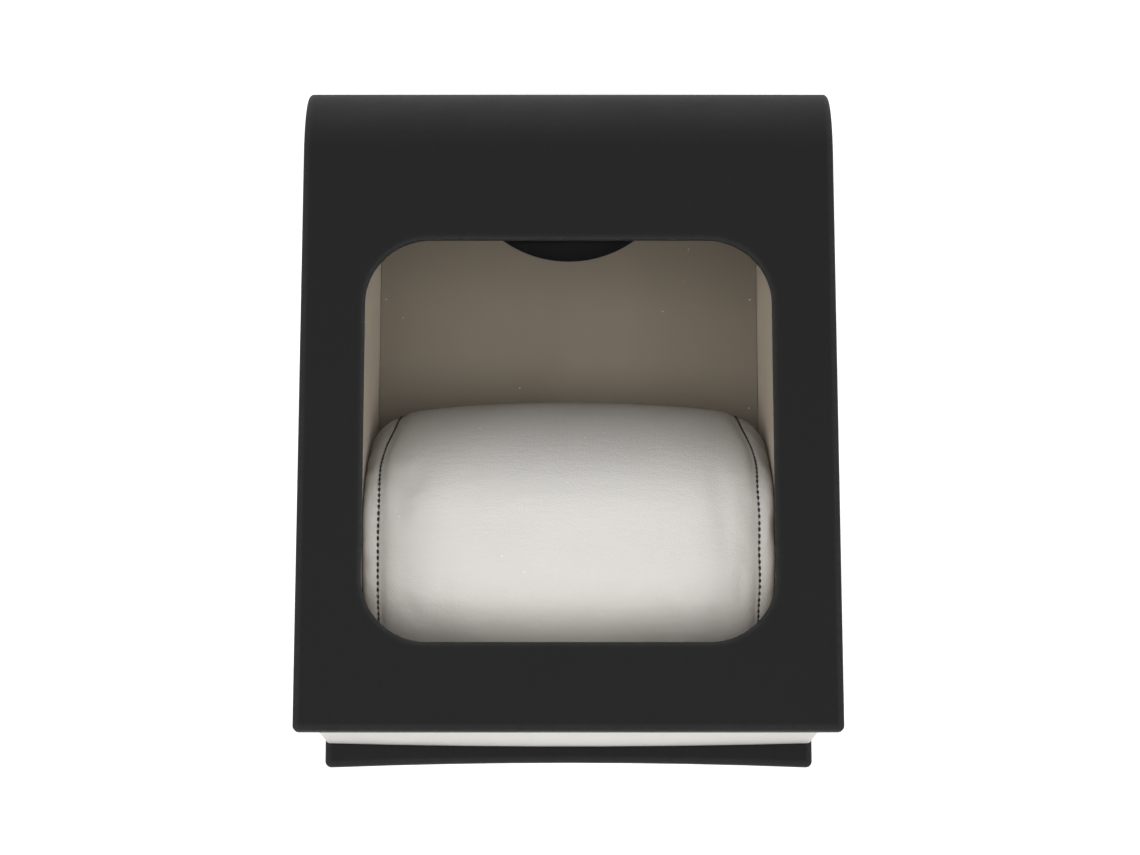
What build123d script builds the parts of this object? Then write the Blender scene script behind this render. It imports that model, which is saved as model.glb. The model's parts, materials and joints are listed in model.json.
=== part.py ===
from build123d import *
import math
import os

# Watch display case, lying on its back. X runs across the case, Y from the free end to the
# spine, Z up out of the window. The origin is on the table under the middle. Millimetres.

# Outer size of the closed case
case_width = 101.5
case_length = 127.0
case_height = 76.5
spine_radius = 16.5

# Layers of the cover
skin = 0.55
lid_board_thickness = 2.0
sheet = 0.5
lid_thickness = skin + lid_board_thickness + sheet
turn_in = 4.0
edge_round = 0.9
corner_round = 1.0

# Window in the lid
window_size = 77.1
window_corner = 12.3
window_y = -8.55
window_lip = 0.5
pane_overlap = 3.5
pane_thickness = 1.3
pane_play = 0.1
tape_thickness = 0.2
tape_width = 2.8
tray_gap = 0.25

# Base
felt_thickness = 0.3
felt_inset = 3.5
base_thickness = 2.8
base_free_end = 0.25
base_bow = 1.0
base_corner = 1.2
base_turn_in = 14.0
base_turn_front = 18.0
base_turn_rear = 6.0

# Tray
tray_inset = 0.15
tray_end = 5.2
tray_bulge = 0.7
tray_skin = 0.8
tray_edge_round = 0.8
cavity_half = 40.0
cavity_front = -48.3
cavity_rear = 50.0
cavity_corner = 1.0
lining = 0.4
rim_turn = 1.3
tray_floor_thickness = 1.8
liner_thickness = 0.3
liner_gap = 0.1

# Floor panel over the paper pocket
panel_top = 11.0
panel_board = 2.0
panel_gap = 0.12
ledge_width = 3.6
ledge_gap = 0.1
ledge_end = 1.5
notch_radius = 23.5
notch_depth = 6.5

# Cushion
cushion_width = 56.0
cushion_height = 48.4
cushion_half_length = 39.4
cushion_y = -19.8
cushion_gap = 0.1
cushion_widest = 23.0
cushion_under = 26.0
crown_drop = 1.2
side_drop = 8.5
top_drop = 2.2
end_round = 1.6
seam_x = 36.7
seam_dip = 0.5
cover_thickness = 0.9

# Hinge along the foot of the spine
hinge_length = 92.0
knuckle_count = 7
knuckle_gap = 0.2
barrel_radius = 1.8
pin_radius = 0.9
pin_play = 0.05
hinge_gap = 0.3
leaf_thickness = 0.6
base_leaf_width = 9.0
lid_leaf_height = 9.0
rivet_head = 1.5
rivet_shank = 0.8
rivet_spare = 0.2
rivet_spread = 36.0
rivet_count = 3
lid_rivet_rise = 1.0

# Magnets at the free end
magnet_radius = 3.0
lid_magnet_thickness = 1.2
tray_magnet_thickness = 2.0
magnet_x = 30.0
magnet_y = -54.1

# Places worked out from the sizes above
half_width = case_width / 2
half_length = case_length / 2
bend_y = half_length - spine_radius
bend_z = case_height - spine_radius
base_bottom = felt_thickness
base_top = base_bottom + base_thickness
hinge_y = half_length - barrel_radius
hinge_z = barrel_radius + base_bottom
base_rear = hinge_y - barrel_radius - hinge_gap
spine_foot = hinge_z + barrel_radius + hinge_gap
lid_under = case_height - lid_thickness
tray_top = lid_under - tray_gap
tray_half = half_width - tray_inset
tray_front = -half_length + tray_end
tray_rear = half_length - lid_thickness - tray_gap
core_half = tray_half - tray_skin
core_front = tray_front + tray_skin
core_rear = tray_rear - tray_skin
core_top = tray_top - tray_skin
pocket_floor = base_top + tray_floor_thickness
panel_bottom = panel_top - panel_board - sheet
panel_half = cavity_half - panel_gap
panel_front = cavity_front + panel_gap
panel_rear = cavity_rear - panel_gap


def block(x_range, y_range, z_range):
    """A plain block between two corners."""
    size = [high - low for low, high in (x_range, y_range, z_range)]
    middle = [(high + low) / 2 for low, high in (x_range, y_range, z_range)]
    return Pos(*middle) * Box(*size)


def plan(half, front, rear, bulge=0.0, corner=0.0):
    """An outline seen from above, its free end bowed out by bulge and its corners rounded."""
    middle = front - bulge
    end = Line((-half, front), (half, front))
    if bulge:
        end = ThreePointArc((-half, front), (0, middle), (half, front))
    sides = Polyline((half, front), (half, rear), (-half, rear), (-half, front))
    face = make_face([end] + sides.edges())
    if corner:
        face = fillet(face.vertices(), corner)
    return face


def upright(face, low, high):
    """A plan outline raised between two heights."""
    return Pos(0, 0, low) * extrude(face, amount=high - low)


def window_block(grow, low, high):
    """The rounded square of the window, grown on every side."""
    side = window_size + 2 * grow
    face = Pos(0, window_y) * RectangleRounded(side, side, window_corner + grow)
    return upright(face, low, high)


def band_layer(outer, inner, half, end_inset, foot_inset):
    """One layer of the lid between two depths under its face: flat, bend and spine."""
    outer_radius = spine_radius - outer
    inner_radius = spine_radius - inner
    slant = math.sqrt(0.5)
    end = -half_length + end_inset
    foot = spine_foot + foot_inset
    outer_top, inner_top = bend_z + outer_radius, bend_z + inner_radius
    outer_back, inner_back = bend_y + outer_radius, bend_y + inner_radius
    outer_mid = (bend_y + outer_radius * slant, bend_z + outer_radius * slant)
    inner_mid = (bend_y + inner_radius * slant, bend_z + inner_radius * slant)
    section = make_face([
        Line((end, outer_top), (bend_y, outer_top)),
        ThreePointArc((bend_y, outer_top), outer_mid, (outer_back, bend_z)),
        Line((outer_back, bend_z), (outer_back, foot)),
        Line((outer_back, foot), (inner_back, foot)),
        Line((inner_back, foot), (inner_back, bend_z)),
        ThreePointArc((inner_back, bend_z), inner_mid, (bend_y, inner_top)),
        Line((bend_y, inner_top), (end, inner_top)),
        Line((end, inner_top), (end, outer_top)),
    ])
    return extrude(Plane.YZ * section, amount=half, both=True)


def outer_rim(solid):
    """The outline of the lid's outer side: flat, bend and spine without the lines between."""
    flat = solid.faces().sort_by(Axis.Z)[-1]
    spine = solid.faces().sort_by(Axis.Y)[-1]
    bend = solid.faces().filter_by(GeomType.CYLINDER).sort_by(SortBy.RADIUS)[-1]
    edges = [edge for face in (flat, spine, bend) for edge in face.edges()]
    return [edge for edge in edges if edges.count(edge) == 1]


def lid_envelope():
    """The whole thickness of the lid, edges rounded, with the window open."""
    solid = band_layer(0, lid_thickness, half_width, 0, 0)
    corners = solid.edges().filter_by(Axis.Z).group_by(Axis.Y)[0]
    solid = fillet(corners, corner_round)
    solid = fillet(outer_rim(solid), edge_round)
    return solid - window_block(0, lid_under - 1, case_height + 1)


def knuckles(first):
    """Every second knuckle of the hinge barrel, from the first or the second one on."""
    pitch = hinge_length / knuckle_count
    length = pitch - knuckle_gap
    places = [(i + 0.5) * pitch - hinge_length / 2 for i in range(first, knuckle_count, 2)]
    return [(x - length / 2, x + length / 2) for x in places]


def barrel_piece(x_range, radius):
    """A round bar along the hinge axis."""
    length = x_range[1] - x_range[0]
    middle = (x_range[0] + x_range[1]) / 2
    return Pos(middle, hinge_y, hinge_z) * Rot(0, 90, 0) * Cylinder(radius, length)


def hinge_bar(radius, spare=0.0):
    """A bar as long as the hinge, or a little longer."""
    half = hinge_length / 2 + spare
    return barrel_piece((-half, half), radius)


def leaf_ranges():
    """The flat of each hinge leaf: the base one lies down and the lid one stands up."""
    board_top = base_top - skin
    base_leaf = (base_rear - base_leaf_width, base_rear), (board_top - leaf_thickness, board_top)
    lid_inner = half_length - lid_thickness
    lid_leaf = (lid_inner, lid_inner + leaf_thickness), (spine_foot, spine_foot + lid_leaf_height)
    return base_leaf, lid_leaf


def rivet_places():
    """Even places for rivets along a leaf."""
    step = 2 * rivet_spread / (rivet_count - 1)
    return [-rivet_spread + i * step for i in range(rivet_count)]


def rivet(length):
    """A countersunk rivet with its head up and its shank down, head face at zero."""
    profile = Polyline((0, 0), (rivet_head, 0), (rivet_shank, -leaf_thickness),
                       (rivet_shank, -length), (0, -length), close=True)
    return revolve(Plane.XZ * make_face(profile), Axis.Z)


def base_rivets():
    """The rivets that go down through the base leaf."""
    base_leaf, _ = leaf_ranges()
    y = sum(base_leaf[0]) / 2
    length = base_thickness - 2 * skin - rivet_spare
    return [Pos(x, y, base_leaf[1][1]) * rivet(length) for x in rivet_places()]


def lid_rivets():
    """The rivets that go out through the lid leaf into the spine."""
    _, lid_leaf = leaf_ranges()
    z = sum(lid_leaf[1]) / 2 + lid_rivet_rise
    length = lid_thickness - skin - rivet_spare
    turn = Rot(90, 0, 0)
    return [Pos(x, lid_leaf[0][0], z) * turn * rivet(length) for x in rivet_places()]


def hinge_leaf(flat_x, flat_y, flat_z, turns, web_y, web_z, hole, rivets):
    """A leaf: its flat, the webs that curl round the pin, the knuckles and the rivet holes."""
    leaf = block(flat_x, flat_y, flat_z)
    for x_range in turns:
        leaf += block(x_range, web_y, web_z)
        leaf += barrel_piece(x_range, barrel_radius)
    leaf -= hinge_bar(hole)
    for one in rivets:
        leaf -= one
    return leaf


def make_hinge():
    """The long hinge at the foot of the spine."""
    base_leaf, lid_leaf = leaf_ranges()
    flat_x = (-hinge_length / 2, hinge_length / 2)
    base_web = (base_rear - 0.5, hinge_y)
    lid_web = (hinge_z, spine_foot + 0.5)
    lower = hinge_leaf(flat_x, *base_leaf, knuckles(0), base_web, base_leaf[1],
                       pin_radius, base_rivets())
    upper = hinge_leaf(flat_x, *lid_leaf, knuckles(1), lid_leaf[0], lid_web,
                       pin_radius + pin_play, lid_rivets())
    return lower, upper, hinge_bar(pin_radius)


def magnet(thickness, top):
    """A pair of disc magnets whose upper faces are at this height."""
    disc = Cylinder(magnet_radius, thickness)
    return [Pos(side * magnet_x, magnet_y, top - thickness / 2) * disc for side in (-1, 1)]


def make_lid():
    """Board, leatherette, lining, pane and the ring that holds it."""
    board_under = lid_under + sheet
    board = band_layer(skin, skin + lid_board_thickness, half_width - skin, skin, skin)
    board -= window_block(skin, lid_under, case_height)
    pane_seat = window_block(pane_overlap, board_under, case_height - skin - window_lip)
    board -= pane_seat
    lid_lining = band_layer(skin + lid_board_thickness, lid_thickness, half_width - turn_in,
                            turn_in, lid_leaf_height + sheet)
    lid_lining -= window_block(0, lid_under - 1, board_under + 1)
    _, lid_leaf = leaf_ranges()
    leaf_seat = block((-hinge_length / 2, hinge_length / 2), lid_leaf[0],
                      (spine_foot - 1, lid_leaf[1][1]))
    board -= leaf_seat
    discs = magnet(lid_magnet_thickness, board_under + lid_magnet_thickness)
    for part in discs + lid_rivets():
        board -= part
    cover = lid_envelope() - board - lid_lining - pane_seat - leaf_seat
    for part in discs + lid_rivets():
        cover -= part
    pane_low = board_under
    pane_high = pane_low + pane_thickness
    pane = window_block(pane_overlap - pane_play, pane_low, pane_high)
    ring = window_block(tape_width, pane_high, pane_high + tape_thickness)
    ring -= window_block(skin, pane_high, pane_high + tape_thickness)
    return board, cover, lid_lining, pane, ring, discs


def base_plan(inset):
    """The base board seen from above: its free end is bowed in a little."""
    front = -half_length + base_free_end + inset
    return plan(half_width - inset, front, base_rear - inset, -base_bow, base_corner - inset)


def make_base():
    """The base board, its leatherette with the edges turned in, and the felt below."""
    base_leaf, _ = leaf_ranges()
    leaf_seat = block((-hinge_length / 2, hinge_length / 2),
                      (base_leaf[0][0], base_rear + 1), base_leaf[1])
    board = upright(base_plan(skin), base_bottom + skin, base_top - skin) - leaf_seat
    cover = upright(base_plan(0), base_bottom, base_top)
    rims = cover.edges().group_by(Axis.Z)
    cover = fillet(rims[0] + rims[-1], edge_round)
    board_space = upright(base_plan(skin), base_bottom + skin, base_top - skin)
    turned = plan(half_width - base_turn_in, -half_length + base_turn_front,
                  base_rear - base_turn_rear)
    opening = upright(turned, base_top - skin, base_top + skin)
    cover = cover - board_space - opening - leaf_seat
    for part in base_rivets():
        board -= part
        cover -= part
    felt = plan(half_width - felt_inset, -half_length + base_bow + felt_inset,
                base_rear - felt_inset, 0, 2.0)
    return board, cover, upright(felt, 0, felt_thickness)


def rear_arc(depth, low, high):
    """A block over the whole plan whose upper rear corner follows the bend inside the lid."""
    radius = tray_rear - bend_y - depth
    back = bend_y + radius
    top = bend_z + radius
    slant = radius * math.sqrt(0.5)
    section = make_face([
        Line((-half_length, low), (back, low)),
        Line((back, low), (back, bend_z)),
        ThreePointArc((back, bend_z), (bend_y + slant, bend_z + slant), (bend_y, top)),
        Line((bend_y, top), (-half_length, top)),
        Line((-half_length, top), (-half_length, low)),
    ])
    shape = extrude(Plane.YZ * section, amount=half_width, both=True)
    return shape & block((-half_width, half_width), (-half_length, half_length), (low, high))


def make_tray():
    """Floor, four walls, the cream leatherette over them and the lining inside."""
    core_plan = plan(core_half, core_front, core_rear, 0, 0.6)
    floor = upright(core_plan, base_top, pocket_floor)
    inner = cavity_half + lining
    inner_front, inner_rear = cavity_front - lining, cavity_rear + lining
    wall_block = upright(core_plan, pocket_floor, core_top) & rear_arc(tray_skin, 0, core_top)
    tall = (pocket_floor, core_top)
    long_y = (core_front, core_rear)
    walls = {
        "left": wall_block & block((-core_half, -inner), long_y, tall),
        "right": wall_block & block((inner, core_half), long_y, tall),
        "front": wall_block & block((-inner, inner), (core_front, inner_front), tall),
        "rear": wall_block & block((-inner, inner), (inner_rear, core_rear), tall),
    }
    discs = magnet(tray_magnet_thickness, core_top)
    for disc in discs:
        walls["front"] -= disc
    outer_plan = plan(tray_half, tray_front, tray_rear, tray_bulge)
    cover = upright(outer_plan, base_top, tray_top) & rear_arc(0, 0, tray_top)
    straight_across = cover.edges().filter_by(Axis.X)
    rim = [edge for edge in cover.edges()
           if edge.center().Z > base_top + 0.1 and edge not in straight_across]
    cover = fillet(rim, tray_edge_round)
    cavity = upright(plan(cavity_half, cavity_front, cavity_rear, 0, cavity_corner),
                     pocket_floor, case_height)
    cover -= cavity
    lining_plan = plan(inner, inner_front, inner_rear, 0, 0)
    lining_block = upright(lining_plan, pocket_floor, tray_top - rim_turn)
    lining_block = lining_block & rear_arc(tray_skin, 0, tray_top)
    tray_lining = lining_block - cavity
    cover -= lining_block
    cover -= upright(core_plan, base_top - 1, core_top) & rear_arc(tray_skin, 0, core_top)
    relief = hinge_bar(barrel_radius + hinge_gap, hinge_gap)
    cover -= relief
    floor -= relief
    liner_plan = plan(cavity_half - liner_gap, cavity_front + liner_gap, cavity_rear - liner_gap,
                      0, cavity_corner)
    liner = upright(liner_plan, pocket_floor, pocket_floor + liner_thickness)
    return floor, walls, cover, tray_lining, liner, discs


def make_ledges():
    """The two battens that carry the floor panel over the paper pocket."""
    low = pocket_floor + liner_thickness
    high = panel_bottom - ledge_gap
    outer = cavity_half - liner_gap
    y_range = (cavity_front + ledge_end, cavity_rear - ledge_end)
    return {name: block(sorted((side * (outer - ledge_width), side * outer)), y_range, (low, high))
            for name, side in (("left", -1), ("right", 1))}


def make_panel():
    """The loose floor panel: a board under cloth, with a finger notch at its spine end."""
    notch_y = panel_rear - notch_depth + notch_radius
    reach = 2 * panel_top
    notch = Pos(0, notch_y, panel_top) * Cylinder(notch_radius, reach)
    board_notch = Pos(0, notch_y, panel_top) * Cylinder(notch_radius + sheet, reach)
    cover = upright(plan(panel_half, panel_front, panel_rear, 0, cavity_corner),
                    panel_bottom, panel_top)
    cover -= notch
    board_plan = plan(panel_half - sheet, panel_front + sheet, panel_rear - sheet,
                      0, cavity_corner - sheet)
    board = upright(board_plan, panel_bottom, panel_bottom + panel_board)
    board -= board_notch
    return board, cover - board


def cushion_section(x, inset, dip=0.0):
    """The cushion cut across at x: flat underneath, widest at mid height, crowned on top."""
    along = abs(x) / cushion_half_length
    into = max(0, abs(x) - cushion_half_length + end_round)
    corner = end_round - math.sqrt(end_round ** 2 - into ** 2)
    drop = crown_drop * along ** 2 + corner + dip + inset
    half = cushion_width / 2 - drop - side_drop * along ** 9
    drop += top_drop * along ** 10
    rise = cushion_height - cushion_widest - drop
    under = cushion_under - drop
    stop = math.asin(min((cushion_widest - inset) / under, 0.94))

    def upper(angle):
        turn = math.radians(angle)
        return half * math.cos(turn), cushion_widest + rise * math.sin(turn)

    def lower(share):
        turn = stop * share
        return half * math.cos(turn), cushion_widest - under * math.sin(turn)

    def mirrored(point):
        return -point[0], point[1]

    foot = lower(1)
    edges = [
        ThreePointArc(upper(0), upper(22.5), upper(45)),
        ThreePointArc(upper(45), upper(67.5), upper(90)),
        ThreePointArc(upper(90), upper(112.5), upper(135)),
        ThreePointArc(upper(135), upper(157.5), upper(180)),
        ThreePointArc(upper(180), mirrored(lower(0.5)), mirrored(foot)),
        Line(mirrored(foot), foot),
        ThreePointArc(foot, lower(0.5), upper(0)),
    ]
    place = Plane(origin=(x, cushion_y, panel_top + cushion_gap), x_dir=(0, 1, 0), z_dir=(1, 0, 0))
    return place * make_face(edges)


def cushion_body(half_steps, inset):
    """A stuffed body through sections at these distances on both sides of the middle."""
    places = sorted({side * step for side in (-1, 1) for step in half_steps})
    faces = [cushion_section(x, inset, seam_dip if abs(x) == seam_x else 0) for x in places]
    body = loft(faces, ruled=True)
    room = (-half_width, half_width), (-half_length, half_length)
    return body & block(*room, (panel_top + cushion_gap + inset, case_height))


def make_cushion():
    """Foam, the centre panel of the cover and its two end panels, meeting in sunk seams."""
    shared = [0.38 * seam_x, 0.68 * seam_x, 0.87 * seam_x]
    foam_ends = [0.98 * seam_x, cushion_half_length - cover_thickness]
    foam = cushion_body(shared + foam_ends, cover_thickness)
    centre = cushion_body(shared + [seam_x], 0)
    end_steps = [seam_x, cushion_half_length - 0.6 * end_round, cushion_half_length]
    ends = []
    for side in (-1, 1):
        faces = [cushion_section(side * x, 0, seam_dip if x == seam_x else 0) for x in end_steps]
        ends.append(loft(faces, ruled=True) - foam)
    return foam, centre - foam, ends


def save(name, shape):
    """Write one node, one file."""
    solids = shape.solids() if hasattr(shape, "solids") else [s for one in shape for s in one.solids()]
    whole = solids[0] if len(solids) == 1 else Compound(children=solids)
    whole.label = name
    export_step(whole, f"parts/{name}.step")


os.makedirs("parts", exist_ok=True)

lid_board, lid_cover, lid_lining, window_pane, pane_ring, lid_discs = make_lid()
base_board, base_cover, base_felt = make_base()
tray_floor, tray_walls, tray_cover, tray_lining, pocket_liner, tray_discs = make_tray()
lower_leaf, upper_leaf, hinge_pin = make_hinge()
ledges = make_ledges()
panel_core, panel_cover = make_panel()
foam_core, centre_panel, end_panels = make_cushion()

save("base_board", base_board)
save("base_cover", base_cover)
save("base_felt", base_felt)
save("tray_floor", tray_floor)
for place, wall in tray_walls.items():
    save(f"tray_wall_{place}", wall)
save("tray_cover", tray_cover)
save("tray_lining", tray_lining)
save("pocket_liner", pocket_liner)
save("tray_magnets", tray_discs)
for place, ledge in ledges.items():
    save(f"panel_ledge_{place}", ledge)
save("hinge_leaf_base", lower_leaf)
save("hinge_rivets_base", base_rivets())
save("hinge_pin", hinge_pin)
save("hinge_leaf_lid", upper_leaf)
save("hinge_rivets_lid", lid_rivets())
save("lid_board", lid_board)
save("lid_cover", lid_cover)
save("lid_lining", lid_lining)
save("lid_magnets", lid_discs)
save("window_pane", window_pane)
save("pane_ring", pane_ring)
save("floor_panel_board", panel_core)
save("floor_panel_cover", panel_cover)
save("cushion_foam", foam_core)
save("cushion_centre_panel", centre_panel)
save("cushion_end_left", end_panels[0])
save("cushion_end_right", end_panels[1])
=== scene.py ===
import bisect
import json
import math

import bmesh
import bpy
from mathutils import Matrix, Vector, noise
from mathutils.bvhtree import BVHTree


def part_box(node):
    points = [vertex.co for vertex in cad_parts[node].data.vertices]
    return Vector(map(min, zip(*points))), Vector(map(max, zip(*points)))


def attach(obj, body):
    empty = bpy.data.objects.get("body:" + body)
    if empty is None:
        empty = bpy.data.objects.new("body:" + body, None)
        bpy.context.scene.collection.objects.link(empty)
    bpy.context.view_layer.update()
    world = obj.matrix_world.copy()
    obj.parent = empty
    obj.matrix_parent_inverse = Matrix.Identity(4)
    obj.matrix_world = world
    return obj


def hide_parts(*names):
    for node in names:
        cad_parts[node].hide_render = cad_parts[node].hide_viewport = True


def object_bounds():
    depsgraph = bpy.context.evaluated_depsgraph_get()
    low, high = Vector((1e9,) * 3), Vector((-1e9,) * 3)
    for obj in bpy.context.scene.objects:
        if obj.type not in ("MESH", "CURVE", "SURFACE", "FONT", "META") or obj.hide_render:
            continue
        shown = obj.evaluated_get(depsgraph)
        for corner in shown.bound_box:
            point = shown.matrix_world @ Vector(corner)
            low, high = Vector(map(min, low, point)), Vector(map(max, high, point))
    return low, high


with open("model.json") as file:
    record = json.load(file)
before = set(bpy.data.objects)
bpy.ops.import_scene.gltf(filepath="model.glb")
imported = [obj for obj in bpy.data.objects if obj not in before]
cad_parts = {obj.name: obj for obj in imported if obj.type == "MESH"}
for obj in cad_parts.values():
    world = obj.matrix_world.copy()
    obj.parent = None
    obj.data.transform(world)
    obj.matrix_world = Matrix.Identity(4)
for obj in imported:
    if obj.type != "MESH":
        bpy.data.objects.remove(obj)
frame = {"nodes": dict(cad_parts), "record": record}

# The case lies on its back: X across, Y from the free end to the spine, Z up out of the
# window. Sizes are metres, as in the frame, and millimetres where the name ends in _mm or
# the heading says so.
cad_low, cad_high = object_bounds()
mm = 0.001
lid_face = cad_high.z

# Camera, from the photograph's viewpoint: above the free end, tilted a little. Its lens is in
# millimetres.
eye_distance = 0.531
eye_y = -0.1197
aim_y = -0.0066
eye_x = 0.0003
lens = 91.4

# Linings: the tray lining's thickness, how far the ring that holds the pane reaches past the
# window, and how far the lid's lining is cut back from it
lining_mm = 0.4
ring_reach_mm = 2.8
lining_trim_mm = 0.5

# Cushion, in millimetres about its own middle. The heights of its widest lines are over its
# underside, each turn is the power that a curve falls away with, and the rooms keep the
# cushion clear of the floor panel and the walls.
cushion_middle_y = -19.8
cushion_width = 57.0
cushion_height = 48.4
cushion_half_length = 39.85
spine_side_widest = 14.5
free_side_widest = 22.0
under_fullness = 1.13
crown_drop_left = 2.3
crown_drop_right = 1.5
side_crown = 2.6
side_drop = 7.0
side_turn = 15
top_drop = 0.2
top_turn = 10
flank_flat = 2.2
flank_turn = 1.5
free_side_full = 3.0
end_round = 0.7
panel_room = 0.1
wall_room = 0.12

# Filling of the cover, in millimetres, run at ten times full size: its mesh, how wide the
# seams hold it, how firmly its underside is held, and how far it may swell
sim_scale = 0.01
sim_frames = 20
sim_voxel = 1.3
seam_hold_width = 1.3
underside_height = 1.0
underside_hold = 0.6
swell_limit = 0.28

# Seams, in millimetres: nearly straight, drawn in where they go down the spine side
seam_half = 36.7
seam_pull = 2.7
seam_pull_from = 9.0
seam_pull_run = 16.0
seam_waver = 0.22
seam_waver_rate = 0.11
seam_slide_reach = 18.0
seam_rays = 1440
seam_ray_start = 45
pinch_depth = 0.5
pinch_width = 1.1
pinch_on_sides = 0.3
pinch_fade_height = 3.0
roll_radius = 0.5
roll_angles = (0.4, 0.8, 1.2, math.pi / 2)
roll_tuck = 2.6

# Stitches: their pitch, rise and dip in millimetres, their half length as a share of the pitch
stitch_pitch = 1.25
stitch_half = 0.37
stitch_uneven = 0.05
stitch_stray = 0.10
stitch_rise = 0.10
stitch_dip = 0.40
thread_radius = 0.23
thread_end_share = 0.55
thread_rounds = 5
thread_sides = 6

# Nearly all of a noise lies between these
noise_low = 0.3
noise_high = 0.7


class Recipe:
    """A material, a node group or a world's nodes: short calls for nodes and links."""

    def __init__(self, name, slots=None, tree=None):
        """A new group where slots are given, the nodes of tree, or else a new material."""
        if tree is not None:
            self.tree = self.owner = tree
            self.tree.nodes.clear()
        elif slots is None:
            self.owner = bpy.data.materials.new(name)
            self.owner.use_nodes = True
            self.tree = self.owner.node_tree
            self.tree.nodes.clear()
        else:
            self.tree = self.owner = bpy.data.node_groups.new(name, "ShaderNodeTree")
            for kind, label, sort, value in slots:
                socket = self.tree.interface.new_socket(label, in_out=kind, socket_type=sort)
                if value is not None:
                    socket.default_value = value
            self.inside = self.tree.nodes.new("NodeGroupInput")
            self.outside = self.tree.nodes.new("NodeGroupOutput")

    def add(self, kind, settings=None, **values):
        """A node of this kind; values go to its inputs, or link where they are sockets."""
        node = self.tree.nodes.new("ShaderNode" + kind)
        for key, value in (settings or {}).items():
            setattr(node, key, value)
        for key, value in values.items():
            self.feed(node.inputs[key.replace("_", " ")], value)
        return node

    def feed(self, socket, value):
        """A link or a plain value into a socket."""
        if isinstance(value, bpy.types.NodeSocket):
            self.tree.links.new(value, socket)
        else:
            socket.default_value = value

    def math(self, operation, first, second=0.0, clamp=False):
        """One sum."""
        node = self.tree.nodes.new("ShaderNodeMath")
        node.operation = operation
        node.use_clamp = clamp
        self.feed(node.inputs[0], first)
        self.feed(node.inputs[1], second)
        return node.outputs[0]

    def spread(self, value, low, high, to_low, to_high):
        """A value carried smoothly from one range to another."""
        node = self.add("MapRange", {"interpolation_type": "SMOOTHSTEP"}, Value=value)
        ends = {"From Min": low, "From Max": high, "To Min": to_low, "To Max": to_high}
        for label, end in ends.items():
            self.feed(node.inputs[label], end)
        return node.outputs["Result"]

    def mix(self, share, first, second, blend="MIX"):
        """A mix of two colours."""
        node = self.tree.nodes.new("ShaderNodeMix")
        node.data_type = "RGBA"
        node.blend_type = blend
        self.feed(node.inputs["Factor"], share)
        self.feed(node.inputs[6], first)
        self.feed(node.inputs[7], second)
        return node.outputs[2]

    def group(self, tree, **values):
        """A shared effect with this material's own values."""
        node = self.tree.nodes.new("ShaderNodeGroup")
        node.node_tree = tree
        for key, value in values.items():
            self.feed(node.inputs[key.replace("_", " ")], value)
        return node

    def bump(self, height, strength, distance):
        """A bump from a height, in metres."""
        node = self.add("Bump", Height=height, Strength=strength, Distance=distance)
        return node.outputs["Normal"]

    def finish(self, shader):
        """The surface of the material."""
        out = self.tree.nodes.new("ShaderNodeOutputMaterial")
        self.tree.links.new(shader, out.inputs["Surface"])
        return self.owner


def place_camera():
    """The photograph's view."""
    data = bpy.data.cameras.new("camera")
    camera = bpy.data.objects.new("camera", data)
    bpy.context.collection.objects.link(camera)
    data.lens = lens
    data.sensor_width = 36.0
    data.clip_start = 0.01
    camera.location = (eye_x, eye_y, lid_face + eye_distance)
    aim = Vector((eye_x, aim_y, lid_face))
    camera.rotation_mode = "QUATERNION"
    camera.rotation_quaternion = (aim - camera.location).to_track_quat("-Z", "Y")
    bpy.context.scene.camera = camera


def soft_light(name, place, aim, size, power):
    """A soft box this wide and high."""
    data = bpy.data.lights.new(name, "AREA")
    data.shape = "RECTANGLE"
    data.size, data.size_y = size
    data.energy = power
    light = bpy.data.objects.new(name, data)
    light.location = place
    light.rotation_mode = "QUATERNION"
    light.rotation_quaternion = (Vector(aim) - Vector(place)).to_track_quat("-Z", "Y")
    bpy.context.collection.objects.link(light)


def studio():
    """A room that is pale low down and at the front and sides, two soft boxes and a floor."""
    world = bpy.data.worlds.new("studio")
    world.use_nodes = True
    bpy.context.scene.world = world
    sky = Recipe("studio", tree=world.node_tree)
    split = sky.add("SeparateXYZ", Vector=sky.add("TexCoord").outputs["Generated"])
    horizon = sky.spread(split.outputs["Z"], low=0.10, high=0.50, to_low=0.85, to_high=0.05)
    front = sky.spread(split.outputs["Y"], low=-0.30, high=0.40, to_low=0.55, to_high=0.06)
    cap = sky.spread(split.outputs["Z"], low=0.78, high=0.92, to_low=1.0, to_high=0.80)
    sideways = sky.math("ABSOLUTE", split.outputs["X"])
    sides = sky.spread(sideways, low=0.50, high=0.80, to_low=0.0, to_high=0.55)
    ahead = sky.math("MULTIPLY", front, cap)
    strength = sky.math("MAXIMUM", sky.math("MAXIMUM", horizon, sides), ahead)
    shine = sky.add("Background", Strength=strength)
    shine.inputs["Color"].default_value = (0.97, 0.985, 1.0, 1)
    sky.add("OutputWorld", Surface=shine.outputs["Background"])
    soft_light("key", place=(-0.03, -0.27, 0.98), aim=(0, -0.02, 0.05), size=(1.7, 0.52),
               power=10.1)
    soft_light("strip", place=(0, 1.35, 0.33), aim=(0, 0.06, 0.07), size=(1.6, 0.22),
               power=11.0)
    bpy.context.scene.view_settings.view_transform = "Standard"
    bpy.ops.mesh.primitive_plane_add(size=8.0, location=(0, 0, cad_low.z))
    floor = bpy.context.object
    floor.name = "floor"
    floor.data.materials.append(plain_floor())


IN, OUT = "INPUT", "OUTPUT"
NUMBER = "NodeSocketFloat"


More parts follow.
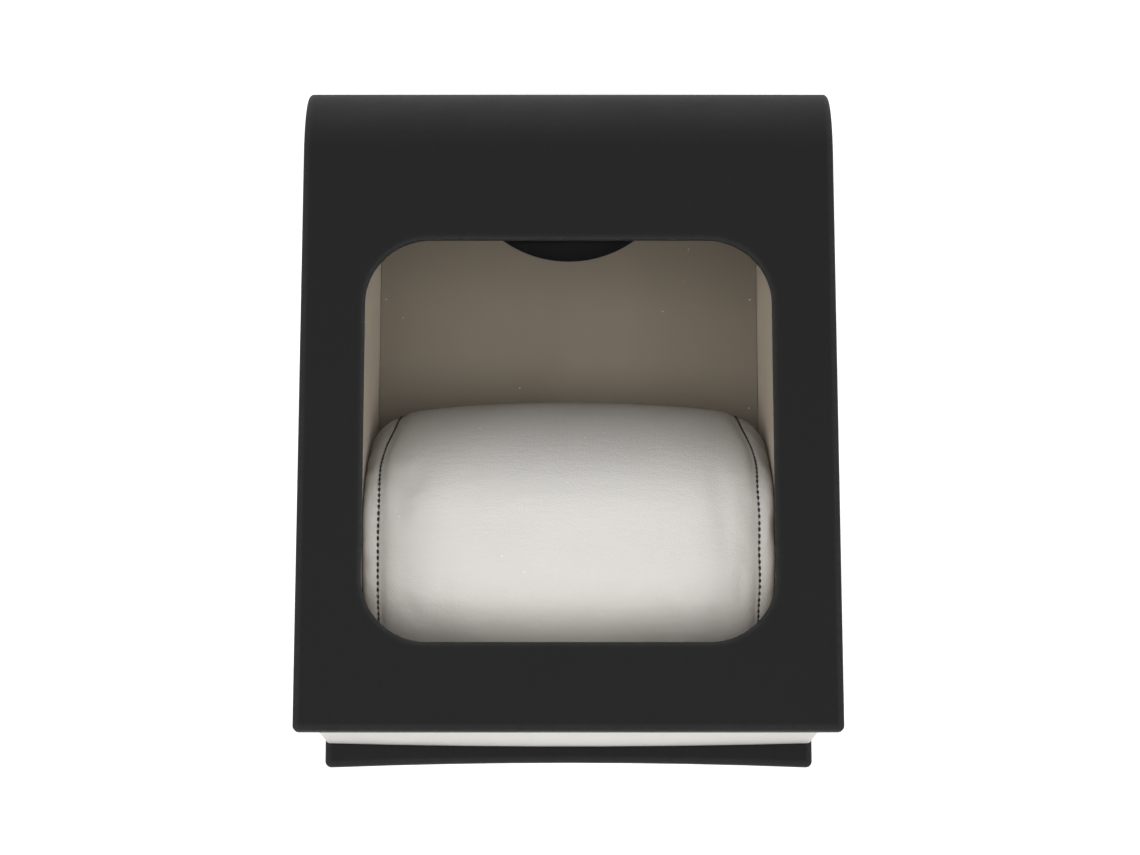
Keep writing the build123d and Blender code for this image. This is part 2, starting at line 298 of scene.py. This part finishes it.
def make_leather_grain():
    """Pebbled leatherette: small rounded cells with shallow creases, ripples lying along X,
    and patches of tone."""
    group = Recipe("leather_grain", [
        (IN, "Pebbles per metre", NUMBER, 2600.0), (IN, "Crease", NUMBER, 0.5),
        (IN, "Ripple", NUMBER, 1.0), (IN, "Patches per metre", NUMBER, 60.0),
        (OUT, "Height", NUMBER, None), (OUT, "Tone", NUMBER, None)])
    here = group.add("TexCoord").outputs["Object"]
    bend = group.add("TexNoise", Vector=here, Scale=900.0, Detail=2.0)
    wander = 0.00022
    warped = group.add("VectorMath", {"operation": "MULTIPLY_ADD"})
    group.feed(warped.inputs[0], bend.outputs["Color"])
    group.feed(warped.inputs[1], (wander, wander, wander))
    group.feed(warped.inputs[2], here)
    cells = group.add("TexVoronoi", {"feature": "SMOOTH_F1"}, Vector=warped.outputs[0],
                      Scale=group.inside.outputs["Pebbles per metre"], Smoothness=0.6)
    borders = group.add("TexVoronoi", {"feature": "DISTANCE_TO_EDGE"}, Vector=warped.outputs[0],
                        Scale=group.inside.outputs["Pebbles per metre"])
    crease = group.spread(borders.outputs["Distance"], low=0.0, high=0.22, to_low=0.0,
                          to_high=1.0)
    dome = group.math("SUBTRACT", 1.0, cells.outputs["Distance"])
    parts = group.math("MULTIPLY", crease, group.inside.outputs["Crease"])
    lie = group.add("Mapping", Vector=here)
    lie.inputs["Scale"].default_value = (0.4, 1.0, 1.0)
    ripple = group.add("TexNoise", Vector=lie.outputs["Vector"], Scale=950.0, Detail=2.0)
    ripples = group.math("MULTIPLY", ripple.outputs["Fac"], group.inside.outputs["Ripple"])
    height = group.math("ADD", group.math("ADD", dome, parts), ripples)
    patches = group.add("TexNoise", Vector=here, Detail=4.0, Roughness=0.55,
                        Scale=group.inside.outputs["Patches per metre"])
    group.feed(group.outside.inputs["Height"], height)
    group.feed(group.outside.inputs["Tone"], patches.outputs["Fac"])
    return group.tree


def make_edge_wear():
    """A mask along convex and concave edges of this width, broken up by fine noise."""
    group = Recipe("edge_wear", [
        (IN, "Amount", NUMBER, 0.5), (IN, "Width", NUMBER, 0.0013),
        (IN, "Breakup per metre", NUMBER, 700.0), (OUT, "Mask", NUMBER, None)])
    rounded = group.add("Bevel", {"samples": 4}, Radius=group.inside.outputs["Width"])
    flat = group.add("NewGeometry").outputs["Normal"]
    agree = group.add("VectorMath", {"operation": "DOT_PRODUCT"})
    group.feed(agree.inputs[0], rounded.outputs["Normal"])
    group.feed(agree.inputs[1], flat)
    edge = group.spread(agree.outputs["Value"], low=0.95, high=0.998, to_low=1.0, to_high=0.0)
    here = group.add("TexCoord").outputs["Object"]
    broken = group.add("TexNoise", Vector=here, Detail=5.0, Roughness=0.65,
                       Scale=group.inside.outputs["Breakup per metre"])
    rough = group.spread(broken.outputs["Fac"], low=0.35, high=0.65, to_low=0.65, to_high=1.0)
    worn = group.math("MULTIPLY", edge, rough)
    mask = group.math("MULTIPLY", worn, group.inside.outputs["Amount"], clamp=True)
    group.feed(group.outside.inputs["Mask"], mask)
    return group.tree


def make_dust():
    """Small specks, in some of the cells only."""
    group = Recipe("dust", [
        (IN, "Specks per metre", NUMBER, 140.0), (IN, "Size", NUMBER, 0.03),
        (OUT, "Mask", NUMBER, None)])
    here = group.add("TexCoord").outputs["Object"]
    cells = group.add("TexVoronoi", {"feature": "F1"}, Vector=here,
                      Scale=group.inside.outputs["Specks per metre"])
    dot = group.math("LESS_THAN", cells.outputs["Distance"], group.inside.outputs["Size"])
    chance = group.add("SeparateColor", Color=cells.outputs["Color"])
    empty_share = 0.6
    some = group.math("GREATER_THAN", chance.outputs["Red"], empty_share)
    group.feed(group.outside.inputs["Mask"], group.math("MULTIPLY", dot, some))
    return group.tree


def make_cloth_nap():
    """Short brushed pile: fine fibres, with soft strokes where it was touched."""
    group = Recipe("cloth_nap", [
        (IN, "Fibres per metre", NUMBER, 5200.0), (IN, "Strokes per metre", NUMBER, 28.0),
        (OUT, "Height", NUMBER, None), (OUT, "Tone", NUMBER, None)])
    here = group.add("TexCoord").outputs["Object"]
    fibres = group.add("TexNoise", Vector=here, Detail=3.0, Roughness=0.7,
                       Scale=group.inside.outputs["Fibres per metre"])
    stretched = group.add("Mapping", Vector=here)
    stretched.inputs["Scale"].default_value = (1.0, 0.35, 0.8)
    strokes = group.add("TexNoise", Vector=stretched.outputs["Vector"], Detail=3.0,
                        Distortion=0.6, Scale=group.inside.outputs["Strokes per metre"])
    fleck = 0.35
    fine = group.math("MULTIPLY", fibres.outputs["Fac"], fleck)
    tone = group.math("ADD", strokes.outputs["Fac"], group.math("SUBTRACT", fine, fleck / 2))
    group.feed(group.outside.inputs["Height"], fibres.outputs["Fac"])
    group.feed(group.outside.inputs["Tone"], tone)
    return group.tree


leather_grain = make_leather_grain()
edge_wear = make_edge_wear()
dust = make_dust()
cloth_nap = make_cloth_nap()


def leatherette(name, dark, light, worn, pebbles, depth, roughness, specular, wear, ripple):
    """A leatherette whose tone drifts, with fine grain and paler rubbed edges."""
    recipe = Recipe(name)
    grain = recipe.group(leather_grain, Pebbles_per_metre=pebbles, Ripple=ripple)
    tone = recipe.spread(grain.outputs["Tone"], noise_low, noise_high, 0.0, 1.0)
    colour = recipe.mix(tone, dark, light)
    rubbed = recipe.group(edge_wear, Amount=wear)
    colour = recipe.mix(rubbed.outputs["Mask"], colour, worn)
    drift = 0.03
    rough = recipe.spread(grain.outputs["Tone"], noise_low, noise_high, roughness - drift,
                          roughness + drift)
    normal = recipe.bump(grain.outputs["Height"], 1.0, depth)
    shader = recipe.add("BsdfPrincipled", Base_Color=colour, Roughness=rough, Normal=normal)
    shader.inputs["Specular IOR Level"].default_value = specular
    return recipe.finish(shader.outputs["BSDF"])


def napped_cloth(name, dark, light, roughness=0.95, sheen=0.25, depth=0.00006,
                 sheen_tint=(1, 1, 1, 1)):
    """Brushed cloth, darker and paler where its pile was stroked."""
    recipe = Recipe(name)
    nap = recipe.group(cloth_nap)
    tone = recipe.spread(nap.outputs["Tone"], low=0.25, high=0.75, to_low=0.0, to_high=1.0)
    colour = recipe.mix(tone, dark, light)
    normal = recipe.bump(nap.outputs["Height"], 0.6, depth)
    shader = recipe.add("BsdfPrincipled", Base_Color=colour, Normal=normal)
    shader.inputs["Roughness"].default_value = roughness
    shader.inputs["Specular IOR Level"].default_value = 0.15
    shader.inputs["Sheen Weight"].default_value = sheen
    shader.inputs["Sheen Roughness"].default_value = 0.5
    shader.inputs["Sheen Tint"].default_value = sheen_tint
    return recipe.finish(shader.outputs["BSDF"])


def lacquered_metal(name, base, worn):
    """Satin black lacquer, rubbed bright on the knuckle edges."""
    recipe = Recipe(name)
    here = recipe.add("TexCoord").outputs["Object"]
    cloud = recipe.add("TexNoise", Vector=here, Scale=420.0, Detail=3.0)
    paler = tuple(1.5 * part for part in base[:3]) + (1,)
    colour = recipe.mix(cloud.outputs["Fac"], base, paler)
    rubbed = recipe.group(edge_wear, Amount=0.7, Breakup_per_metre=1500.0)
    colour = recipe.mix(rubbed.outputs["Mask"], colour, worn)
    rough = recipe.spread(cloud.outputs["Fac"], noise_low, noise_high, 0.32, 0.46)
    normal = recipe.bump(cloud.outputs["Fac"], 0.25, 0.00005)
    shader = recipe.add("BsdfPrincipled", Base_Color=colour, Roughness=rough, Normal=normal,
                        Metallic=rubbed.outputs["Mask"])
    return recipe.finish(shader.outputs["BSDF"])


def bright_metal(name):
    """Nickel plate with a fine mottle."""
    recipe = Recipe(name)
    here = recipe.add("TexCoord").outputs["Object"]
    cloud = recipe.add("TexNoise", Vector=here, Scale=1800.0, Detail=4.0)
    colour = recipe.mix(cloud.outputs["Fac"], (0.55, 0.54, 0.52, 1), (0.75, 0.74, 0.72, 1))
    rough = recipe.spread(cloud.outputs["Fac"], noise_low, noise_high, 0.18, 0.34)
    shader = recipe.add("BsdfPrincipled", Base_Color=colour, Roughness=rough)
    shader.inputs["Metallic"].default_value = 1.0
    return recipe.finish(shader.outputs["BSDF"])


def fibre_board(name, dark, light, stretch):
    """Pressed board: short fibres lying along the sheet."""
    recipe = Recipe(name)
    here = recipe.add("TexCoord").outputs["Object"]
    lay = recipe.add("Mapping", Vector=here)
    lay.inputs["Scale"].default_value = stretch
    fibres = recipe.add("TexNoise", Vector=lay.outputs["Vector"], Scale=1500.0, Detail=5.0,
                        Roughness=0.7)
    colour = recipe.mix(fibres.outputs["Fac"], dark, light)
    normal = recipe.bump(fibres.outputs["Fac"], 0.6, 0.0001)
    shader = recipe.add("BsdfPrincipled", Base_Color=colour, Normal=normal)
    shader.inputs["Roughness"].default_value = 0.9
    return recipe.finish(shader.outputs["BSDF"])


def clear_acrylic(name):
    """The pane: clear, with a trace of dust. Shadow and bounced light pass straight through."""
    recipe = Recipe(name)
    specks = recipe.group(dust, Specks_per_metre=260.0, Size=0.035)
    speck_roughness = 0.6
    rough = recipe.math("MULTIPLY", specks.outputs["Mask"], speck_roughness)
    shader = recipe.add("BsdfPrincipled", Roughness=rough)
    shader.inputs["Base Color"].default_value = (0.985, 0.99, 0.99, 1)
    shader.inputs["IOR"].default_value = 1.45
    shader.inputs["Specular IOR Level"].default_value = 0.2
    shader.inputs["Transmission Weight"].default_value = 1.0
    straight = recipe.add("BsdfTransparent")
    rays = recipe.add("LightPath")
    bounced = recipe.math("MAXIMUM", rays.outputs["Is Shadow Ray"], rays.outputs["Is Diffuse Ray"])
    blend = recipe.tree.nodes.new("ShaderNodeMixShader")
    recipe.feed(blend.inputs[0], bounced)
    recipe.feed(blend.inputs[1], shader.outputs["BSDF"])
    recipe.feed(blend.inputs[2], straight.outputs["BSDF"])
    return recipe.finish(blend.outputs["Shader"])


def twisted_thread(name, dark, light):
    """Sewing thread with a fine twist."""
    recipe = Recipe(name)
    here = recipe.add("TexCoord").outputs["Object"]
    strands = recipe.add("TexWave", {"bands_direction": "DIAGONAL"}, Vector=here, Scale=2600.0,
                         Distortion=1.0)
    colour = recipe.mix(strands.outputs["Fac"], dark, light)
    normal = recipe.bump(strands.outputs["Fac"], 0.5, 0.00004)
    shader = recipe.add("BsdfPrincipled", Base_Color=colour, Normal=normal)
    shader.inputs["Roughness"].default_value = 0.8
    return recipe.finish(shader.outputs["BSDF"])


def plain_floor():
    """A pale matt floor with a trace of tone, a little lit from within."""
    recipe = Recipe("plain_floor")
    here = recipe.add("TexCoord").outputs["Object"]
    cloud = recipe.add("TexNoise", Vector=here, Scale=3.0, Detail=2.0)
    colour = recipe.mix(cloud.outputs["Fac"], (0.90, 0.90, 0.90, 1), (0.93, 0.93, 0.93, 1))
    shader = recipe.add("BsdfPrincipled", Base_Color=colour)
    shader.inputs["Roughness"].default_value = 0.9
    shader.inputs["Specular IOR Level"].default_value = 0.1
    shader.inputs["Emission Color"].default_value = (1, 1, 1, 1)
    shader.inputs["Emission Strength"].default_value = 0.40
    return recipe.finish(shader.outputs["BSDF"])


cover_black = leatherette(
    "cover_black", dark=(0.0092, 0.0092, 0.0096, 1), light=(0.0100, 0.0100, 0.0104, 1),
    worn=(0.045, 0.045, 0.046, 1), pebbles=3200.0, depth=0.00002, roughness=0.68,
    specular=0.15, wear=0.6, ripple=1.0)
tray_cream = leatherette(
    "tray_cream", dark=(0.585, 0.565, 0.535, 1), light=(0.605, 0.585, 0.555, 1),
    worn=(0.66, 0.64, 0.61, 1), pebbles=2000.0, depth=0.00006, roughness=0.55,
    specular=0.35, wear=0.4, ripple=2.0)
cushion_cream = leatherette(
    "cushion_cream", dark=(0.735, 0.71, 0.675, 1), light=(0.755, 0.73, 0.695, 1),
    worn=(0.80, 0.775, 0.74, 1), pebbles=2200.0, depth=0.00003, roughness=0.52,
    specular=0.4, wear=0.2, ripple=2.2)
lining_cream = napped_cloth(
    "lining_cream", dark=(0.248, 0.212, 0.163, 1), light=(0.282, 0.243, 0.19, 1),
    sheen=0.6, sheen_tint=(1.0, 0.86, 0.70, 1))
lining_black = napped_cloth(
    "lining_black", dark=(0.0045, 0.0045, 0.0045, 1), light=(0.008, 0.008, 0.008, 1),
    sheen=0.0)
felt_black = napped_cloth(
    "felt_black", dark=(0.014, 0.014, 0.015, 1), light=(0.028, 0.028, 0.030, 1),
    depth=0.00015)
board_grey = fibre_board(
    "board_grey", dark=(0.30, 0.27, 0.22, 1), light=(0.46, 0.42, 0.35, 1), stretch=(1, 0.4, 2))
wood_board = fibre_board(
    "wood_board", dark=(0.40, 0.28, 0.16, 1), light=(0.60, 0.45, 0.29, 1), stretch=(0.5, 1, 2))
cushion_foam = fibre_board(
    "cushion_foam", dark=(0.70, 0.68, 0.60, 1), light=(0.85, 0.83, 0.76, 1), stretch=(1, 1, 1))
window_clear = clear_acrylic("window_clear")
adhesive_ring = napped_cloth(
    "adhesive_ring", dark=(0.60, 0.60, 0.59, 1), light=(0.70, 0.70, 0.69, 1), sheen=0.0)
hinge_metal = lacquered_metal(
    "hinge_metal", base=(0.012, 0.012, 0.013, 1), worn=(0.42, 0.41, 0.39, 1))
magnet_metal = bright_metal("magnet_metal")
seam_thread = twisted_thread(
    "seam_thread", dark=(0.006, 0.005, 0.005, 1), light=(0.016, 0.014, 0.013, 1))

finishes = {
    "cover_black": cover_black, "tray_cream": tray_cream, "lining_cream": lining_cream,
    "lining_black": lining_black, "felt_black": felt_black, "board_grey": board_grey,
    "wood_board": wood_board, "cushion_cream": cushion_cream, "cushion_foam": cushion_foam,
    "window_clear": window_clear, "adhesive_ring": adhesive_ring, "hinge_metal": hinge_metal,
    "magnet_metal": magnet_metal,
}


def dress_frame():
    """Every carried-over piece takes the finish of its slot."""
    for entry in frame["record"]["subparts"]:
        thing = frame["nodes"][entry["node"]]
        for place in thing.material_slots:
            place.material = finishes[entry["material_slot"]]


def new_piece(name, mesh, finish, body):
    """A piece of the scene on its body, with its finish and slot."""
    thing = bpy.data.objects.new(name, mesh)
    bpy.context.collection.objects.link(thing)
    thing.data.materials.append(finish)
    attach(thing, body)
    return thing


def trim_lid_lining():
    """The cloth inside the lid, cut back from the window so that none shows in the pane."""
    solid = frame["nodes"]["lid_lining"]
    mesh = solid.data.copy()
    mesh.transform(solid.matrix_world)
    low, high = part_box("pane_ring")
    middle = (low + high) / 2
    opening = (high.x - low.x) / 2 - ring_reach_mm * mm
    for vertex in mesh.vertices:
        across, along = vertex.co.x - middle.x, vertex.co.y - middle.y
        if max(abs(across), abs(along)) < opening + lining_trim_mm * mm:
            grow = 1 + lining_trim_mm * mm / opening
            vertex.co.x = middle.x + across * grow
            vertex.co.y = middle.y + along * grow
    cloth = new_piece("lid_lining_cloth", mesh, lining_cream, "lid")
    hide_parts("lid_lining")


# The cushion is shaped in millimetres about a point on the floor panel under its middle.
panel_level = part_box("floor_panel_cover")[1].z
cushion_origin = Vector((0, cushion_middle_y * mm, panel_level + panel_room * mm))
cavity_low, cavity_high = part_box("tray_lining")
cavity_half = cavity_high.x / mm - lining_mm


def cushion_drop(x):
    """How far the sides and the top have fallen in at x: a slight crown, then a round end."""
    along = min(abs(x) / cushion_half_length, 1.0)
    into = max(0.0, abs(x) - (cushion_half_length - end_round))
    crown = (crown_drop_left if x < 0 else crown_drop_right) * along ** 2
    corner = end_round - math.sqrt(max(0.0, end_round ** 2 - into ** 2))
    side = side_crown * along ** 2 + side_drop * along ** side_turn
    return side + corner, crown + corner + top_drop * along ** top_turn


def cushion_point(x, angle):
    """A point of the stuffed shape: angle 0 is the spine side, a quarter turn the top."""
    side, top = cushion_drop(x)
    across, up = math.cos(angle), math.sin(angle)
    widest = spine_side_widest if across > 0 else free_side_widest
    reach = cushion_height - widest if up > 0 else under_fullness * widest
    half = cushion_width / 2 - side
    y = half * across
    if up > 0 and across > 0:
        y -= flank_flat * math.sin(2 * angle) ** flank_turn
    elif up > 0:
        power = 2 / free_side_full
        y = -half * abs(across) ** power
        up = up ** power
    return Vector((x, y, max(widest + (reach - top) * up, 0.0)))


def cushion_blank(length_steps=64, around=120):
    """The stuffed shape before it swells, as a closed mesh in millimetres."""
    mesh = bmesh.new()
    rings = []
    for i in range(length_steps + 1):
        share = 2 * i / length_steps - 1
        x = cushion_half_length * math.sin(share * math.pi / 2)
        rings.append([mesh.verts.new(cushion_point(x, 2 * math.pi * j / around))
                      for j in range(around)])
    for first, second in zip(rings, rings[1:]):
        for j in range(around):
            k = (j + 1) % around
            mesh.faces.new((first[j], second[j], second[k], first[k]))
    for ring, flip in ((rings[0], False), (rings[-1], True)):
        middle = mesh.verts.new(sum((vertex.co for vertex in ring), Vector()) / around)
        for j in range(around):
            k = (j + 1) % around
            corner = (ring[j], ring[k], middle) if not flip else (ring[k], ring[j], middle)
            mesh.faces.new(corner)
    bmesh.ops.recalc_face_normals(mesh, faces=mesh.faces)
    return mesh


def ease(share):
    """A share from 0 to 1, eased in and out."""
    return share ** 2 * (3 - 2 * share)


def seam_place(y, z, side):
    """Where the seam lies along X: nearly straight on top, drawn in towards the spine side."""
    lean = max(0.0, min(1.0, (y - seam_pull_from) / seam_pull_run))
    spot = Vector((y * seam_waver_rate, z * seam_waver_rate, side * 7.3))
    return seam_half - seam_pull * ease(lean) + seam_waver * noise.noise(spot)


def swell(blank):
    """The cover filled by cloth simulation at ten times full size, the seams holding it in."""
    mesh = bpy.data.meshes.new("cushion_swell")
    for vertex in blank.verts:
        vertex.co *= sim_scale
    blank.to_mesh(mesh)
    blank.free()
    thing = bpy.data.objects.new("cushion_swell", mesh)
    bpy.context.collection.objects.link(thing)
    bpy.context.view_layer.objects.active = thing
    remesh = thing.modifiers.new("remesh", "REMESH")
    remesh.mode = "VOXEL"
    remesh.voxel_size = sim_voxel * sim_scale
    bpy.ops.object.modifier_apply(modifier=remesh.name)
    start = [vertex.co.copy() / sim_scale for vertex in thing.data.vertices]
    held = thing.vertex_groups.new(name="held")
    for i, point in enumerate(start):
        line = seam_place(point.y, point.z, math.copysign(1, point.x))
        near = math.exp(-((abs(point.x) - line) / seam_hold_width) ** 2)
        under = underside_hold if point.z < underside_height else 0.0
        held.add([i], max(near, under), "REPLACE")
    cloth = thing.modifiers.new("cloth", "CLOTH")
    cloth.settings.quality = 6
    cloth.settings.mass = 0.3
    cloth.settings.tension_stiffness = 15
    cloth.settings.compression_stiffness = 15
    cloth.settings.bending_stiffness = 0.6
    cloth.settings.use_pressure = True
    cloth.settings.uniform_pressure_force = 2.0
    cloth.settings.vertex_group_mass = "held"
    cloth.settings.pin_stiffness = 1.0
    cloth.settings.shrink_min = -0.04
    cloth.settings.effector_weights.gravity = 0.0
    cloth.collision_settings.use_collision = False
    scene = bpy.context.scene
    for number in range(1, sim_frames + 1):
        scene.frame_set(number)
    bpy.ops.object.modifier_apply(modifier=cloth.name)
    scene.frame_set(1)
    result = []
    for vertex, first in zip(thing.data.vertices, start):
        move = vertex.co / sim_scale - first
        if move.length > swell_limit:
            move *= swell_limit / move.length
        result.append(first + move)
    faces = [tuple(face.vertices) for face in thing.data.polygons]
    bpy.data.objects.remove(thing)
    bpy.data.meshes.remove(mesh)
    return result, faces


def settle(points):
    """The swollen cover kept inside the tray: flat on the floor panel, clear of the walls."""
    room_x = cavity_half - wall_room
    front = cavity_low.y / mm + lining_mm + wall_room - cushion_middle_y
    kept = []
    for point in points:
        x = max(-room_x, min(room_x, point.x))
        y = max(front, point.y)
        kept.append(Vector((x, y, max(0.0, point.z))))
    return kept


def smooth_mesh(points, faces):
    """The settled cover relaxed and divided once more, in millimetres."""
    mesh = bpy.data.meshes.new("cushion_smooth")
    mesh.from_pydata(points, [], faces)
    thing = bpy.data.objects.new("cushion_smooth", mesh)
    bpy.context.collection.objects.link(thing)
    bpy.context.view_layer.objects.active = thing
    relax = thing.modifiers.new("relax", "SMOOTH")
    relax.factor = 0.5
    relax.iterations = 3
    bpy.ops.object.modifier_apply(modifier=relax.name)
    finer = thing.modifiers.new("finer", "SUBSURF")
    finer.levels = 1
    bpy.ops.object.modifier_apply(modifier=finer.name)
    whole = bmesh.new()
    whole.from_mesh(thing.data)
    bpy.data.objects.remove(thing)
    return whole


def pinch(mesh):
    """Draws the cover in along both seams, so that the panels swell beside them."""
    mesh.normal_update()
    moves = []
    for vertex in mesh.verts:
        line = seam_place(vertex.co.y, vertex.co.z, math.copysign(1, vertex.co.x))
        near = math.exp(-((abs(vertex.co.x) - line) / pinch_width) ** 2)
        upward = pinch_on_sides + (1 - pinch_on_sides) * max(0.0, vertex.normal.z)
        low_fade = min(1.0, vertex.co.z / pinch_fade_height)
        moves.append(vertex.normal * (-pinch_depth * near * upward * low_fade))
    for vertex, move in zip(mesh.verts, moves):
        vertex.co += move


def straighten(mesh, back=False):
    """Moves the seams to flat planes for the cut, or back again."""
    for vertex in mesh.verts:
        side = math.copysign(1, vertex.co.x)
        reach = abs(vertex.co.x)
        shift = seam_half - seam_place(vertex.co.y, vertex.co.z, side)
        share = max(0.0, 1 - abs(reach - seam_half) / seam_slide_reach)
        move = side * shift * ease(share)
        vertex.co.x += -move if back else move


def boundary_loops(mesh):
    """The open edges of a cut mesh, as rings of vertices in the same order each run."""
    left = dict.fromkeys(edge for edge in mesh.edges if edge.is_boundary)
    rings = []
    while left:
        edge = left.popitem()[0]
        ring = [edge.verts[0], edge.verts[1]]
        while True:
            following = [near for near in ring[-1].link_edges if near in left]
            if not following:
                break
            del left[following[0]]
            ring.append(following[0].other_vert(ring[-1]))
        if ring[-1] is ring[0]:
            ring.pop()
        rings.append(ring)
    return rings


def roll_in(mesh, direction):
    """Turns each cut edge down into the seam in a quarter round, tucks it in and closes it."""
    for ring in boundary_loops(mesh):
        side = direction * math.copysign(1, ring[0].co.x)
        normals = [vertex.normal.copy() for vertex in ring]
        starts = [vertex.co.copy() for vertex in ring]
        last = ring
        steps = [(math.sin(angle), 1 - math.cos(angle)) for angle in roll_angles]
        steps.append((1.0, roll_tuck))
        for across, down in steps:
            fresh = []
            for start, normal in zip(starts, normals):
                flat = Vector((0, normal.y, normal.z)).normalized()
                shift = Vector((side * across, 0, 0)) - flat * down
                fresh.append(mesh.verts.new(start + shift * roll_radius))
            for j in range(len(last)):
                k = (j + 1) % len(last)
                mesh.faces.new((last[j], last[k], fresh[k], fresh[j]))
            last = fresh
        middle = mesh.verts.new(sum((vertex.co for vertex in last), Vector()) / len(last))
        for j in range(len(last)):
            mesh.faces.new((last[j], last[(j + 1) % len(last)], middle))
    bmesh.ops.recalc_face_normals(mesh, faces=mesh.faces)


def cut(mesh, place, keep_outer):
    """Cuts at x = place and keeps the part beyond it, or the part towards the middle."""
    away = Vector((math.copysign(1, place), 0, 0))
    geometry = mesh.verts[:] + mesh.edges[:] + mesh.faces[:]
    bmesh.ops.bisect_plane(mesh, geom=geometry, plane_co=(place, 0, 0), plane_no=away,
                           clear_outer=not keep_outer, clear_inner=keep_outer, dist=0.0005)


def to_frame(mesh, name):
    """A finished cushion mesh, from millimetres about its origin to the frame."""
    for vertex in mesh.verts:
        vertex.co = vertex.co * mm + cushion_origin
    data = bpy.data.meshes.new(name)
    mesh.to_mesh(data)
    mesh.free()
    data.shade_smooth()
    return data


def seam_line(tree, side):
    """Points and outward normals round one seam, and the length along it to each."""
    line = []
    middle_z = cushion_height / 2
    for i in range(seam_rays):
        angle = 2 * math.pi * i / seam_rays
        ray = Vector((0, math.cos(angle), math.sin(angle)))
        start = Vector((side * seam_half, 0, middle_z)) + ray * seam_ray_start
        x = seam_half
        for _ in range(3):
            start.x = side * x
            hit, normal, _, _ = tree.ray_cast(start, -ray)
            x = seam_place(hit.y, hit.z, side)
        flat = Vector((0, normal.y, normal.z)).normalized()
        line.append((hit, flat))
    lengths = [0.0]
    for (first, _), (second, _) in zip(line, line[1:] + line[:1]):
        lengths.append(lengths[-1] + (second - first).length)
    return line, lengths


def add_stitch(mesh, line, lengths, middle, reach):
    """One short thread, proud of the seam at its middle, its thinner ends down in it."""
    rings = []
    for k in range(thread_rounds):
        share = 2 * k / (thread_rounds - 1) - 1
        distance = (middle + share * reach) % lengths[-1]
        point, normal = line[bisect.bisect_right(lengths, distance, 0, len(line)) - 1]
        rise = stitch_rise - stitch_dip * share ** 2
        width = thread_radius * (thread_end_share if abs(share) == 1 else 1.0)
        ring = []
        for s in range(thread_sides):
            turn = 2 * math.pi * s / thread_sides
            outward = normal * (rise + width * math.sin(turn))
            sideways = Vector((1, 0, 0)) * width * math.cos(turn)
            ring.append(mesh.verts.new(point + outward + sideways))
        rings.append(ring)
    for first, second in zip(rings, rings[1:]):
        for s in range(thread_sides):
            t = (s + 1) % thread_sides
            mesh.faces.new((first[s], first[t], second[t], second[s]))
    mesh.faces.new(rings[0])
    mesh.faces.new(reversed(rings[-1]))


def sew(tree):
    """Every stitch of both seams in one mesh, none quite like the next."""
    mesh = bmesh.new()
    for side in (-1, 1):
        line, lengths = seam_line(tree, side)
        count = int(lengths[-1] / stitch_pitch)
        pitch = lengths[-1] / count
        for i in range(count):
            stray_spot = Vector((i * 0.73, side * 3.1, 0.5))
            uneven_spot = Vector((i * 1.31, side, 9.0))
            stray = stitch_stray * noise.noise(stray_spot)
            uneven = stitch_uneven * noise.noise(uneven_spot)
            add_stitch(mesh, line, lengths, (i + 0.5 + stray) * pitch,
                       pitch * (stitch_half + uneven))
    bmesh.ops.recalc_face_normals(mesh, faces=mesh.faces)
    return mesh


def make_cushion():
    """The cushion: centre panel, end panels with rolled seams, and the stitches between."""
    points, faces = swell(cushion_blank())
    whole = smooth_mesh(settle(points), faces)
    pinch(whole)
    whole.normal_update()
    tree = BVHTree.FromBMesh(whole)
    stitches = sew(tree)
    straighten(whole)
    whole.normal_update()
    centre = whole.copy()
    for side in (-1, 1):
        cut(centre, side * (seam_half - roll_radius), False)
        end = whole.copy()
        cut(end, side * (seam_half + roll_radius), True)
        end.normal_update()
        roll_in(end, -1)
        straighten(end, back=True)
        name = "left" if side < 0 else "right"
        piece = new_piece(f"cushion_end_cover_{name}", to_frame(end, f"end_{name}"),
                          cushion_cream, "cushion")
        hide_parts(f"cushion_end_{name}")
    centre.normal_update()
    roll_in(centre, 1)
    straighten(centre, back=True)
    piece = new_piece("cushion_cover", to_frame(centre, "cushion_cover"), cushion_cream,
                      "cushion")
    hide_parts("cushion_centre_panel", "cushion_foam")
    whole.free()
    new_piece("cushion_stitches", to_frame(stitches, "cushion_stitches"), seam_thread,
              "cushion")


place_camera()
studio()
dress_frame()
trim_lid_lining()
make_cushion()
